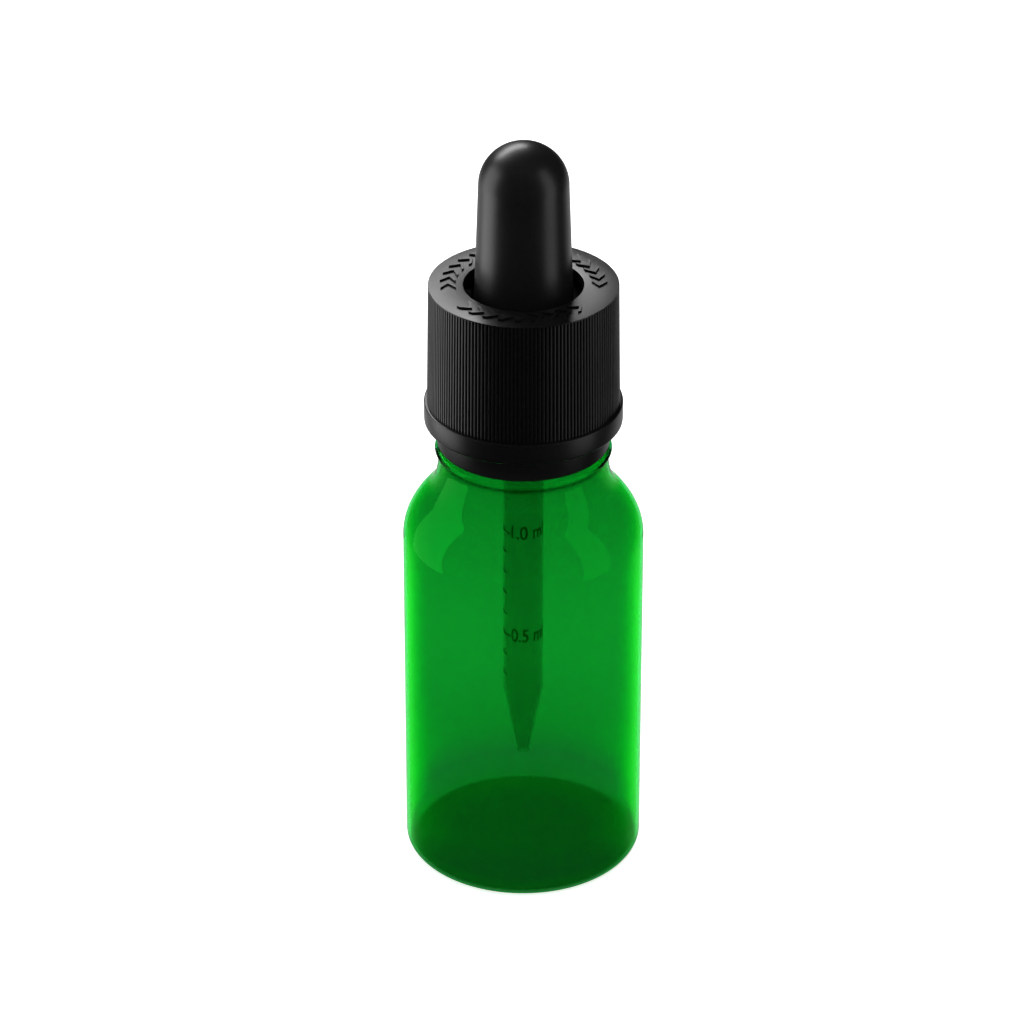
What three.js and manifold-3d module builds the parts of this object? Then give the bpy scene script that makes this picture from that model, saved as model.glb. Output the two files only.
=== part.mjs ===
// Glass dropper bottle with a child-resistant closure.
// Millimetres, +Z up. The origin is the centre of the base, on the surface that the bottle stands on.

import * as THREE from 'three';
import { mergeVertices } from 'three/addons/utils/BufferGeometryUtils.js';
import Module from 'manifold-3d';

const wasm = await Module();
wasm.setup();

// Glass bottle
const bodyDiameter = 28.6;
const bodyWall = 1.9;
const baseThickness = 2.4;
const pushUpHeight = 0.8;
const standingWidth = 1.6;
const heelRadius = 1.6;
const innerHeelRadius = 2.2;
const straightHeight = 42.8;
const shoulderRise = 7.1;
const shoulderSweep = 30.5;
const innerShoulderRise = 8.2;
const innerShoulderSweep = 50;
const neckDiameter = 20.1;
const neckHeight = 4.1;
const transferBeadDepth = 0.4;
const transferBeadHeight = 0.95;
const boreDiameter = 11.6;
const mouthRounding = 0.5;

// Neck finish: the screw thread and the bead that traps the tamper ring
const threadRootDiameter = 16.1;
const threadDepth = 0.7;
const threadPitch = 3;
const threadTurns = 1.5;
const threadBase = 1.4;
const threadCrest = 0.7;
const threadLead = 1.15;
const mouthLand = 1.6;
const lockBeadDepth = 1.05;
const lockBeadHeight = 0.9;

// Tamper ring
const ringHeight = 3;
const hookHeight = 1.3;
const hookBite = 0.35;
const bridgeCount = 8;
const bridgeWidth = 0.6;
const bridgeHeight = 0.2;

// Inner cap
const innerCapWall = 0.65;
const lipDepth = 0.75;
const lipHeight = 1.1;
const lipSetBack = 0.4;
const shelfThickness = 1.4;
const collarHeight = 3.8;
const collarWall = 1.15;

// Drive teeth between the two caps
const toothCount = 12;
const toothArc = 10;
const toothHeight = 1.1;
const toothFreeGap = 0.4;
const toothTipGap = 0.2;

// Outer cap
const outerCapWall = 0.87;
const outerCapTop = 1.2;
const bandWall = 1.03;
const bandHeight = 2.6;
const snapBite = 0.15;
const snapHeight = 0.55;
const topRimHeight = 0.4;
const topChamfer = 0.2;
const ribCount = 156;
const ribDepth = 0.22;
const ribDraft = 0.24;

// Sprung fingers
const springBase = 1;
const fingerCount = 6;
const fingerThickness = 0.7;
const fingerArc = 48;

// Rubber bulb
const bulbCollarDiameter = 11.9;
const bulbHipDiameter = 11.4;
const bulbTopDiameter = 10.5;
const bulbReach = 12.7;
const domeHeight = 5.1;
const bulbWall = 1.3;
const bulbFlangeDiameter = 15;
const bulbFlangeThickness = 1.5;
const bulbHoleRoom = 1;

// Glass pipette
const pipetteDiameter = 4.8;
const pipetteWall = 0.65;
const pipetteReach = 52.7;
const taperLength = 10.1;
const tipDiameter = 1.4;
const tipBore = 0.6;
const flareDiameter = 6;
const flareHeight = 1.2;
const headHeight = 4;

// Clearances
const seatGap = 0.1;
const gripGap = 0.1;
const ringSeatGap = 0.25;
const ringGap = 0.3;
const ringRunGap = 0.1;
const bridgeGap = 0.35;
const threadGap = 0.25;
const capRunGap = 0.35;
const lipGap = 0.25;
const snapGap = 0.2;
const stopGap = 0.1;
const springGap = 0.3;
const springTopGap = 0.2;
const collarGap = 0.25;

// How finely round forms are cut, and how far joined forms sink into each other
const roundSegments = 40;
const bulbSegments = 32;
const pipetteSegments = 24;
const arcSteps = 3;
const shoulderSteps = 7;
const threadStepsPerTurn = 24;
const sink = 0.3;

const degree = Math.PI / 180;
const fullTurn = 2 * Math.PI;

// Radii, worked outwards from the neck
const bodyR = bodyDiameter / 2;
const neckR = neckDiameter / 2;
const boreR = boreDiameter / 2;
const threadRootR = threadRootDiameter / 2;
const threadR = threadRootR + threadDepth;
const transferBeadR = neckR + transferBeadDepth;
const lockBeadR = threadRootR + lockBeadDepth;
const innerCapBoreR = threadR + threadGap;
const innerCapR = innerCapBoreR + innerCapWall;
const lipR = innerCapR + lipDepth;
const collarBoreR = innerCapR - collarWall;
const outerBoreR = innerCapR + capRunGap;
const pocketR = lipR + lipGap;
const snapR = lipR - snapBite;
const bandR = pocketR + bandWall;
const ribRootTopR = outerBoreR + outerCapWall;
const ribTopR = ribRootTopR + ribDepth;
const ringBoreR = lockBeadR + ringGap;
const ringR = snapR - ringRunGap;
const hookR = lockBeadR - hookBite;
const pipetteR = pipetteDiameter / 2;
const pipetteBoreR = pipetteR - pipetteWall;
const flareR = flareDiameter / 2;
const bulbCollarR = bulbCollarDiameter / 2;
const bulbHipR = bulbHipDiameter / 2;
const bulbTopR = bulbTopDiameter / 2;
const bulbFlangeR = bulbFlangeDiameter / 2;
const capHoleR = bulbCollarR + bulbHoleRoom;

// Heights, worked upwards from the standing surface
const floorZ = pushUpHeight + baseThickness;
const neckZ = straightHeight + shoulderRise;
const transferBeadZ = neckZ + neckHeight;
const transferBeadTopZ = transferBeadZ + transferBeadHeight;
const ringZ = transferBeadTopZ + ringSeatGap;
const ringTopZ = ringZ + ringHeight;
const hookTopZ = ringZ + hookHeight;
const lockBeadZ = hookTopZ + bridgeGap;
const lockBeadTopZ = lockBeadZ + lockBeadHeight;
const threadZ = lockBeadTopZ + threadLead;
const mouthZ = threadZ + threadPitch * threadTurns + mouthLand;
const bulbZ = mouthZ + seatGap;
const bulbFlangeTopZ = bulbZ + bulbFlangeThickness;
const skirtZ = ringTopZ + bridgeGap;
const lipZ = skirtZ + lipSetBack;
const lipTopZ = lipZ + lipHeight;
const shelfZ = bulbFlangeTopZ + seatGap;
const shelfTopZ = shelfZ + shelfThickness;
const collarTopZ = shelfTopZ + collarHeight;
const pushTravel = toothFreeGap + toothHeight - toothTipGap;
const hangingToothHeight = toothHeight + seatGap;
const capUndersideZ = collarTopZ + toothHeight + toothFreeGap + hangingToothHeight;
const capTopZ = capUndersideZ + outerCapTop;
const snapTopZ = lipZ - snapGap;
const capZ = snapTopZ - snapHeight;
const bandTopZ = capZ + bandHeight;
const pocketTopZ = lipTopZ + pushTravel + stopGap;
const springZ = shelfTopZ + seatGap;
const springTopZ = capUndersideZ - springTopGap;
const domeZ = capTopZ + bulbReach;
const bulbTopZ = domeZ + domeHeight;
const headTopZ = bulbZ + headHeight;
const flareZ = headTopZ - flareHeight;
const tipZ = mouthZ - pipetteReach;

// Points along an elliptical arc in the profile plane, from one angle to another
function arc(centreR, centreZ, radiusR, radiusZ, fromDeg, toDeg, steps = arcSteps) {
  const points = [];
  for (let i = 0; i <= steps; i += 1) {
    const angle = (fromDeg + ((toDeg - fromDeg) * i) / steps) * degree;
    points.push([centreR + radiusR * Math.cos(angle), centreZ + radiusZ * Math.sin(angle)]);
  }
  return points;
}

// A shoulder that starts upright at the wall and leans in to a smaller radius, as part of an ellipse
function shoulder(wallR, topR, rise, sweepDeg) {
  const reach = (wallR - topR) / (1 - Math.cos(sweepDeg * degree));
  const height = rise / Math.sin(sweepDeg * degree);
  return arc(wallR - reach, straightHeight, reach, height, 0, sweepDeg, shoulderSteps);
}

// One closed shell: shared corners merged, slivers dropped, faces turned to point out
function closed(geometry) {
  const bare = new THREE.BufferGeometry();
  bare.setAttribute('position', geometry.getAttribute('position').clone());
  bare.setIndex(geometry.getIndex());
  const merged = mergeVertices(bare);
  const index = merged.getIndex().array;
  const triangles = [];
  for (let i = 0; i < index.length; i += 3) {
    const [a, b, c] = index.slice(i, i + 3);
    if (a !== b && b !== c && c !== a) triangles.push(a, b, c);
  }
  merged.setIndex(triangles);
  return signedVolume(merged) < 0 ? flipped(merged) : merged;
}

function signedVolume(geometry) {
  const position = geometry.getAttribute('position');
  const index = geometry.getIndex().array;
  const corner = (i) => new THREE.Vector3().fromBufferAttribute(position, index[i]);
  let volume = 0;
  for (let i = 0; i < index.length; i += 3) {
    volume += corner(i).dot(corner(i + 1).cross(corner(i + 2))) / 6;
  }
  return volume;
}

function flipped(geometry) {
  const index = Array.from(geometry.getIndex().array);
  for (let i = 0; i < index.length; i += 3) {
    [index[i], index[i + 1]] = [index[i + 1], index[i]];
  }
  geometry.setIndex(index);
  return geometry;
}

// A profile of [radius, height] points turned about +Z
function turned(profile, segments) {
  const points = profile.map(([r, z]) => new THREE.Vector2(r, z));
  const geometry = new THREE.LatheGeometry(points, segments);
  geometry.rotateX(Math.PI / 2);
  return closed(geometry);
}

// A profile that goes once round a wall and comes back to its first point
function ringProfile(profile) {
  return [...profile, profile[0]];
}

// Moves every corner of a geometry by a rule
function bent(geometry, rule) {
  const position = geometry.getAttribute('position');
  for (let i = 0; i < position.count; i += 1) {
    position.setXYZ(i, ...rule(position.getX(i), position.getY(i), position.getZ(i)));
  }
  return closed(geometry);
}

function polygon(points) {
  return new THREE.Shape(points.map(([x, y]) => new THREE.Vector2(x, y)));
}

// A bar of constant section wound round +Z. The section's x runs along the axis and its y out of the wall that
// carries it. side is 1 on an outside wall and -1 on an inside one. fade thins what stands proud of the wall.
function woundBar({ section, radius, height, pitch, from, to, steps, side = 1, fade = () => 1 }) {
  const outline = polygon(section.map(([along, out]) => [along, out * side]));
  const bar = new THREE.ExtrudeGeometry(outline, { depth: 1, steps, bevelEnabled: false });
  return bent(bar, (along, out, share) => {
    const turn = from + (to - from) * share;
    const r = radius + out * (out * side > 0 ? fade(share) : 1);
    const z = height + pitch * turn + along * fade(share);
    return [r * Math.cos(turn * fullTurn), r * Math.sin(turn * fullTurn), z];
  });
}

// A screw ridge that runs out to nothing at both ends
function screwRidge(radius, height, from, to, side) {
  const fadeShare = 0.08;
  const thinnest = 0.15;
  const section = [
    [-threadBase / 2, -sink],
    [threadBase / 2, -sink],
    [threadBase / 2, 0],
    [threadCrest / 2, threadDepth],
    [-threadCrest / 2, threadDepth],
    [-threadBase / 2, 0],
  ];
  const steps = Math.round((to - from) * threadStepsPerTurn);
  const fade = (share) => Math.min(1, Math.max(thinnest, Math.min(share, 1 - share) / fadeShare));
  return woundBar({ section, radius, height, pitch: threadPitch, from, to, steps, side, fade });
}

// A ring of ratchet teeth, upright on one flank and sloped on the other. up is 1 for teeth that stand on
// a face and -1 for teeth that hang from one.
function toothRing(faceZ, height, up, startDeg) {
  const slopeShare = 0.45;
  const half = toothArc / 2;
  const outline = [
    [-half, -sink],
    [half, -sink],
    [half, height],
    [half - toothArc * slopeShare, height],
    [-half, 0],
  ];
  const teeth = [];
  for (let i = 0; i < toothCount; i += 1) {
    const middle = startDeg + (360 / toothCount) * i;
    const tooth = new THREE.ExtrudeGeometry(polygon(outline), {
      depth: innerCapR - collarBoreR,
      steps: 1,
      bevelEnabled: false,
    });
    teeth.push(
      bent(tooth, (x, y, out) => {
        const angle = (middle + x * up) * degree;
        const r = collarBoreR + out;
        return [r * Math.cos(angle), r * Math.sin(angle), faceZ + y * up];
      }),
    );
  }
  return teeth;
}

// Joining with manifold-3d
function toSolid(geometry) {
  const vertProperties = new Float32Array(geometry.getAttribute('position').array);
  const triVerts = new Uint32Array(geometry.getIndex().array);
  return new wasm.Manifold(new wasm.Mesh({ numProp: 3, vertProperties, triVerts }));
}

function joined(base, additions) {
  let solid = toSolid(base);
  for (const addition of additions) {
    solid = solid.add(toSolid(addition));
  }
  const { vertProperties, triVerts } = solid.getMesh();
  const geometry = new THREE.BufferGeometry();
  geometry.setAttribute('position', new THREE.BufferAttribute(new Float32Array(vertProperties), 3));
  geometry.setIndex(Array.from(triVerts));
  return geometry;
}

function bottleGeometry() {
  const standingR = bodyR - heelRadius;
  const innerR = bodyR - bodyWall;
  const beadRound = transferBeadHeight / 2;
  const innerShoulder = shoulder(innerR, boreR, innerShoulderRise, innerShoulderSweep);
  const outside = [
    [0, pushUpHeight],
    [(standingR - standingWidth) / 2, pushUpHeight],
    [standingR - standingWidth, 0],
    ...arc(standingR, heelRadius, heelRadius, heelRadius, -90, 0),
    ...shoulder(bodyR, neckR, shoulderRise, shoulderSweep),
    [neckR, transferBeadZ],
    ...arc(transferBeadR - beadRound, transferBeadZ + beadRound, beadRound, beadRound, -75, 90),
    [threadRootR, transferBeadTopZ],
    [threadRootR, lockBeadZ],
    [lockBeadR, lockBeadZ + lockBeadHeight / 4],
    [lockBeadR, lockBeadZ + lockBeadHeight / 2],
    [threadRootR, lockBeadTopZ],
    ...arc(threadRootR - mouthRounding, mouthZ - mouthRounding, mouthRounding, mouthRounding, 0, 90),
  ];
  const inside = [
    ...arc(boreR + mouthRounding, mouthZ - mouthRounding, mouthRounding, mouthRounding, 90, 180),
    ...innerShoulder.reverse(),
    ...arc(innerR - innerHeelRadius, floorZ + innerHeelRadius, innerHeelRadius, innerHeelRadius, 0, -90),
    [0, floorZ],
  ];
  const glass = turned([...outside, ...inside], roundSegments);
  return joined(glass, [screwRidge(threadRootR, threadZ, 0, threadTurns, 1)]);
}

function tamperRingGeometry() {
  const edge = 0.15;
  const leadIn = 0.5;
  const profile = ringProfile([
    [hookR + leadIn, ringZ],
    [ringR - edge, ringZ],
    [ringR, ringZ + edge],
    [ringR, ringTopZ],
    [ringBoreR, ringTopZ],
    [ringBoreR, hookTopZ],
    [hookR, hookTopZ],
    [hookR, ringZ + leadIn],
  ]);
  const bridges = [];
  for (let i = 0; i < bridgeCount; i += 1) {
    const bridge = new THREE.BoxGeometry((ringR - ringBoreR) / 2, bridgeWidth, bridgeHeight + sink);
    bridge.translate((ringR + ringBoreR) / 2, 0, ringTopZ + (bridgeHeight - sink) / 2);
    bridge.rotateZ((fullTurn / bridgeCount) * (i + 0.5));
    bridges.push(closed(bridge));
  }
  return joined(turned(profile, roundSegments), bridges);
}

function innerCapGeometry() {
  const shelfHoleR = bulbCollarR + collarGap;
  const profile = ringProfile([
    [innerCapBoreR, skirtZ],
    [innerCapR, skirtZ],
    [innerCapR, lipZ],
    [lipR, lipZ],
    [lipR, lipTopZ],
    [innerCapR, lipTopZ],
    [innerCapR, collarTopZ],
    [collarBoreR, collarTopZ],
    [collarBoreR, shelfTopZ],
    [shelfHoleR, shelfTopZ],
    [shelfHoleR, shelfZ],
    [innerCapBoreR, shelfZ],
  ]);
  const ridgeMiddleZ = threadZ + threadPitch / 2;
  const from = (skirtZ + threadBase - ridgeMiddleZ) / threadPitch;
  const ridge = screwRidge(innerCapBoreR, ridgeMiddleZ, from, from + threadTurns, -1);
  const teeth = toothRing(collarTopZ, toothHeight, 1, 0);
  return joined(turned(profile, roundSegments), [ridge, ...teeth]);
}

function springRingGeometry() {
  const innerR = bulbCollarR + springGap;
  const outerR = collarBoreR - springGap;
  const baseTopZ = springZ + springBase;
  const base = ringProfile([
    [innerR, springZ],
    [outerR, springZ],
    [outerR, baseTopZ],
    [innerR, baseTopZ],
  ]);
  const section = [
    [-fingerThickness, 0],
    [0, 0],
    [0, outerR - innerR],
    [-fingerThickness, outerR - innerR],
  ];
  const span = fingerArc / 360;
  const fingers = [];
  for (let i = 0; i < fingerCount; i += 1) {
    const from = i / fingerCount;
    fingers.push(
      woundBar({
        section,
        radius: innerR,
        height: baseTopZ - ((springTopZ - baseTopZ) / span) * from,
        pitch: (springTopZ - baseTopZ) / span,
        from,
        to: from + span,
        steps: arcSteps,
      }),
    );
  }
  return joined(turned(base, roundSegments), fingers);
}

// The ribbed grip: an extruded star, drawn in towards the top by the mould's draft
function ribSleeve(fromZ, toZ) {
  const outline = [];
  for (let i = 0; i < ribCount; i += 1) {
    const step = fullTurn / ribCount;
    outline.push([ribTopR * Math.cos(step * i), ribTopR * Math.sin(step * i)]);
    const groove = step * (i + 0.5);
    outline.push([ribRootTopR * Math.cos(groove), ribRootTopR * Math.sin(groove)]);
  }
  const star = polygon(outline);
  const holeR = ribRootTopR - outerCapWall / 2;
  star.holes.push(new THREE.Path().absarc(0, 0, holeR, 0, fullTurn, true));
  const sleeve = new THREE.ExtrudeGeometry(star, {
    depth: toZ - fromZ,
    curveSegments: roundSegments,
    bevelEnabled: false,
  });
  return bent(sleeve, (x, y, rise) => {
    const r = Math.hypot(x, y);
    const grown = (r + (ribDraft * (toZ - fromZ - rise)) / (toZ - fromZ)) / r;
    return [x * grown, y * grown, fromZ + rise];
  });
}

function outerCapGeometry() {
  const coreR = ribRootTopR - outerCapWall / 4;
  const rimZ = capTopZ - topRimHeight;
  // the rim's flats lie outside the rib crests
  const rimR = ribTopR / Math.cos(Math.PI / roundSegments);
  const profile = ringProfile([
    [snapR, capZ],
    [bandR, capZ],
    [bandR, bandTopZ],
    [coreR + ribDraft, bandTopZ],
    [coreR, rimZ],
    [rimR, rimZ],
    [rimR, capTopZ - topChamfer],
    [rimR - topChamfer, capTopZ],
    [capHoleR, capTopZ],
    [capHoleR, capUndersideZ],
    [outerBoreR, capUndersideZ],
    [outerBoreR, pocketTopZ],
    [pocketR, pocketTopZ],
    [pocketR, snapTopZ],
    [snapR, snapTopZ],
  ]);
  const sleeve = ribSleeve(bandTopZ - sink, rimZ + topRimHeight / 4);
  const teeth = toothRing(capUndersideZ, hangingToothHeight, -1, 180 / toothCount);
  return joined(turned(profile, roundSegments), [sleeve, ...teeth]);
}

function bulbGeometry() {
  const counterboreR = flareR + gripGap;
  const ledgeZ = flareZ - gripGap;
  const profile = [
    [0, bulbTopZ - bulbWall],
    ...arc(0, domeZ, bulbTopR - bulbWall, domeHeight - bulbWall, 90, 0),
    [bulbHipR - bulbWall, capTopZ],
    [bulbHipR - bulbWall, headTopZ],
    [counterboreR, headTopZ],
    [counterboreR, ledgeZ],
    [pipetteR + gripGap, ledgeZ],
    [pipetteR + gripGap, bulbZ],
    [bulbFlangeR, bulbZ],
    [bulbFlangeR, bulbFlangeTopZ],
    [bulbCollarR, bulbFlangeTopZ],
    [bulbCollarR, shelfTopZ],
    [bulbHipR, capTopZ],
    ...arc(0, domeZ, bulbTopR, domeHeight, 0, 90, shoulderSteps),
  ];
  return turned(profile, bulbSegments);
}

function pipetteGeometry() {
  const tipR = tipDiameter / 2;
  const tipBoreR = tipBore / 2;
  const taperZ = tipZ + taperLength;
  const edge = 0.3;
  const profile = ringProfile([
    [tipBoreR, tipZ],
    [tipR, tipZ],
    ...arc(pipetteR - edge, taperZ, edge, edge, -10, 0, 1),
    [pipetteR, flareZ],
    [flareR, flareZ + edge],
    [flareR, headTopZ - edge],
    [flareR - edge, headTopZ],
    [pipetteBoreR, headTopZ],
    [pipetteBoreR, taperZ],
  ]);
  return turned(profile, pipetteSegments);
}

function piece(name, geometry, finish) {
  const mesh = new THREE.Mesh(geometry, new THREE.MeshStandardMaterial(finish));
  mesh.name = name;
  return mesh;
}

const greenGlass = { color: 0x0c8c1e, roughness: 0.05, metalness: 0, transparent: true, opacity: 0.6 };
const clearGlass = { color: 0xdfe8e0, roughness: 0.05, metalness: 0, transparent: true, opacity: 0.4 };
const capPlastic = { color: 0x1b1b1c, roughness: 0.55, metalness: 0 };
const ringPlastic = { color: 0x161616, roughness: 0.4, metalness: 0 };
const innerPlastic = { color: 0x222224, roughness: 0.5, metalness: 0 };
const springPlastic = { color: 0x2a2a2c, roughness: 0.5, metalness: 0 };
const bulbRubber = { color: 0x1a1a1a, roughness: 0.6, metalness: 0 };

const dropperBottle = new THREE.Group();
dropperBottle.add(
  piece('bottle', bottleGeometry(), greenGlass),
  piece('tamper_ring', tamperRingGeometry(), ringPlastic),
  piece('inner_cap', innerCapGeometry(), innerPlastic),
  piece('spring_ring', springRingGeometry(), springPlastic),
  piece('outer_cap', outerCapGeometry(), capPlastic),
  piece('bulb', bulbGeometry(), bulbRubber),
  piece('pipette', pipetteGeometry(), clearGlass),
);

export default dropperBottle;
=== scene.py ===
import math

import bmesh
import bpy
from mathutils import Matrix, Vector


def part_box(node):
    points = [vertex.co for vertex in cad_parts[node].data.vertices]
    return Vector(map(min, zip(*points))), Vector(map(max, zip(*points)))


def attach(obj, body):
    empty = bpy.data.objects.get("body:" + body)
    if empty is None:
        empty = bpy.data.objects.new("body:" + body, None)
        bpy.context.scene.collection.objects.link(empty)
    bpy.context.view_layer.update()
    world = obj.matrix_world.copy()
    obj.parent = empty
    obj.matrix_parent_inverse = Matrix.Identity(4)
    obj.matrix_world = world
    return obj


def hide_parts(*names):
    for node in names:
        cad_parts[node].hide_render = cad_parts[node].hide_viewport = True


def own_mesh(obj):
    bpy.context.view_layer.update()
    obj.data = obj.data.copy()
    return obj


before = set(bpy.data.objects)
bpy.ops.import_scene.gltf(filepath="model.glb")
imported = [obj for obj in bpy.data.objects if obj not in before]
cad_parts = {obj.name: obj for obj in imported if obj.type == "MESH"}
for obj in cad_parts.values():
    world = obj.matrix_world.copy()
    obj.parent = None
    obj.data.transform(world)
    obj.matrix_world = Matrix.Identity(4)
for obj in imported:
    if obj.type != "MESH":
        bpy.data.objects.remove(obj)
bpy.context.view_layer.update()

# A tincture bottle of green glass with a child-resistant dropper closure.
# Sizes are millimetres and angles degrees, and counts and shares are plain numbers.
# In the frame's axes, the bottle's axis is Z and its front faces -Y.
MM = 0.001
TURN = 360
FRONT_ANGLE = -90
BACK_ANGLE = 90


def reach_and_heights(node):
    """A round node's largest radius, lowest height and highest height, in millimetres."""
    low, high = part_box(node)
    return high.x / MM, low.z / MM, high.z / MM


BODY_R, STAND_Z, MOUTH_Z = reach_and_heights("bottle")
RING_R, RING_Z, RING_STUB_Z = reach_and_heights("tamper_ring")
LIP_R, SKIRT_Z, TOOTH_TIP_Z = reach_and_heights("inner_cap")
SPRING_R, SPRING_Z, SPRING_TOP_Z = reach_and_heights("spring_ring")
BAND_R, CAP_Z, CAP_TOP_Z = reach_and_heights("outer_cap")
FLANGE_R, BULB_Z, BULB_TOP_Z = reach_and_heights("bulb")
FLARE_R, TIP_Z, HEAD_Z = reach_and_heights("pipette")

# Glass bottle
GLASS_SKIN = 0.35
PUSH_UP = 0.8
STANDING_WIDTH = 0.55
HEEL_R = 1.6
STRAIGHT_Z = 42.8
NECK_Z = 49.9
SHOULDER_SWEEP = 30.5
NECK_BLEND_STEPS = 5
NECK_R = 10.05
BEAD_R = 10.45
BEAD_Z = 54.0
BEAD_HEIGHT = 0.95
BEAD_START = -75
BORE_R = 5.8
LIP_ROUNDING = 0.5

# Screw thread and lock bead of the neck
THREAD_ROOT_R = 8.05
THREAD_DEPTH = 0.7
THREAD_PITCH = 3.0
THREAD_TURNS = 1.5
THREAD_BASE = 1.4
THREAD_CREST = 0.7
THREAD_FADE = 0.08
THREAD_Z = 58.9
LOCK_BEAD_R = 9.1
LOCK_BEAD_Z = 56.85
LOCK_BEAD_HEIGHT = 0.9

# Tamper ring
RING_TOP_Z = 58.2
RING_BORE_R = 9.4
HOOK_R = 8.75
HOOK_TOP_Z = 56.5
HOOK_CHAMFER = 0.5
BRIDGES = 8
BRIDGE_WIDTH = 0.6
BRIDGE_INSET = 0.2
BRIDGE_TAPER = 0.6

# Inner cap
INNER_BORE_R = 9.0
INNER_R = 9.65
LIP_Z = 58.95
LIP_TOP_Z = 60.05
SHELF_Z = 66.7
SHELF_TOP_Z = 68.1
COLLAR_TOP_Z = 71.9
COLLAR_BORE_R = 8.5
SHELF_HOLE_R = 6.2

# Drive teeth of both caps
TEETH = 12
TOOTH_ARC = 10
TOOTH_SLOPE = 0.45
HANGING_TOOTH = 1.2

# Outer cap
CAP_BORE_R = 10.0
CAP_HOLE_R = 6.95
CAP_UNDERSIDE_Z = 74.6
POCKET_R = 10.65
POCKET_TOP_Z = 61.45
SNAP_R = 10.25
SNAP_TOP_Z = 58.75
BAND_TOP_Z = 60.8
RIM_HEIGHT = 0.12
RIBS = 156
RIB_ROOT_R = 10.87
RIB_DEPTH = 0.22
RIB_DRAFT = 0.24

# A rib's section: crest and foot as shares of half the pitch, and the crest's fall as a share of the depth
RIB_CREST = 0.6
RIB_FOOT = 0.7
RIB_FALL = 0.13

# Raised turn marks on the cap's top, in two rows that point opposite ways
MARK_R = 8.75
MARK_LENGTH = 1.8
MARK_LEAD = 0.55
MARK_STROKE = 0.51
MARK_RELIEF = 0.22
MARK_STEP = 11.5
FRONT_MARKS = 9
BACK_MARKS = 17

# Spring ring
SPRING_BASE = 1.0
SPRING_BORE_R = 6.25
FINGERS = 6
FINGER_ARC = 48
FINGER_THICKNESS = 0.7

# Rubber bulb
BULB_COLLAR_R = 6.1
BULB_HIP_R = 5.7
BULB_CROWN_R = 5.25
BULB_WALL = 1.3
DOME_Z = 88.5
FLANGE_TOP_Z = 66.6
HEAD_GRIP = 0.1

# Glass pipette and its printed scale
TUBE_R = 2.4
TUBE_BORE_R = 2.15
TAPER_Z = 21.5
TIP_R = 0.8
TIP_BORE_R = 0.45
FLARE_Z = 67.9
FLARE_RISE = 0.3
SCALE_STEP = 2.83
SCALE_TOP_Z = 43.65
SCALE_MARKS = 8
MARKS_PER_NUMBER = 5
NUMBER_HEIGHT = 1.85
NUMBER_RISE = 0.3
NUMBER_WIDTH = 4.5
NUMBER_START = -36
NUMBER_BOLDNESS = 0.015
NUMBER_STRIPS = 60
INK_THICKNESS = 0.03
TICK_HEIGHT = 0.25
LONG_TICK = (-92, -41)
SHORT_TICK = (-92, -55)

# How finely round forms are cut
GLASS_SEGMENTS = 192
CAP_SEGMENTS = 156
BULB_SEGMENTS = 128
TUBE_SEGMENTS = 64
ROUND_STEPS = 12
FILLET_STEPS = 4
THREAD_ROWS = 72
SINK = 0.15
SHARP_ANGLE = 40
SAME_R = 1e-6

# Fillet radii, and the largest share of a side that a fillet takes
CRISP = 0.1
EASED = 0.15
SOFT = 0.2
BLUNT = 0.25
ROUNDED = 0.3
FULL = 0.4
RIM_FILLET = 0.08
HOLE_FILLET = 0.12
FLARE_FILLET = 0.5
THROAT_FILLET = 1.5
TAPER_FILLET = 3
BULB_COLLAR_FILLET = 3
BULB_HIP_FILLET = 4
FILLET_SHARE = 0.45

# Feature sizes of the textures
GLASS_RIPPLE = 9
DRAW_LINE = 0.9
MELT_FLOW = 12

# Painted light in the bottle's glass: the heights where each share starts and is full, and the colours of
# the painted shade, glow and highlight in the order in which they are laid over the wall's green
GLASS_HEIGHTS = {
    "low": (8, 0.8, "SMOOTHSTEP"),
    "on_wall": (0.8, 3, "LINEAR"),
    "above_foot": (1.5, 7, "LINEAR"),
    "below_middle": (18, 6, "SMOOTHSTEP"),
    # painted shade towards the neck, under the cap
    "neck": (32, 64, "SMOOTHSTEP"),
    # painted shade in the crease under the bead, below the black ring, and a painted highlight on the bead
    "crease": (BEAD_Z - 0.7, BEAD_Z - 0.15, "LINEAR"),
    "bead": (BEAD_Z - 0.05, BEAD_Z + 0.25, "LINEAR"),
}
GLASS_SHADES = (
    # painted shade low on the wall and in the base, for the floor's shadow seen through them
    ("foot", "#5ea67b"),
    # painted glow at the edges
    ("edge", "#20ff58"),
    # painted shade towards the neck
    ("neck", "#28924a"),
    # painted shade in the crease under the bead
    ("crease", "#0c4c22"),
    # painted highlight along the bead
    ("bead", "#28a850"),
)
# The base's painted shade is full within the middle and lighter on the ring that it stands on
FOOT_RING_R = 12.4
FOOT_RING_SHADE = 0.35
FULL_SHADE_BASE_R = 7.5

# The facing value at which the glass's painted glow starts, on most of the wall and low on it, and is full
PAINTED_GLOW_START = 0.45
LOW_PAINTED_GLOW_START = 0.24
PAINTED_GLOW_FULL = 0.82

# The low IOR keeps the view through the glass straight, and the gain lifts its faint mirror to that of glass
GLASS_IOR = 1.05
MIRROR_GAIN = 65


# Materials

def linear(hex_colour):
    """The linear RGBA of an sRGB hex colour."""
    channels = [int(hex_colour[i:i + 2], 16) / 255 for i in (1, 3, 5)]
    return [c / 12.92 if c <= 0.04045 else ((c + 0.055) / 1.055) ** 2.4 for c in channels] + [1]


def per_metre(size):
    """The texture scale that draws features of this size in millimetres."""
    return 1 / (size * MM)


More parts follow.
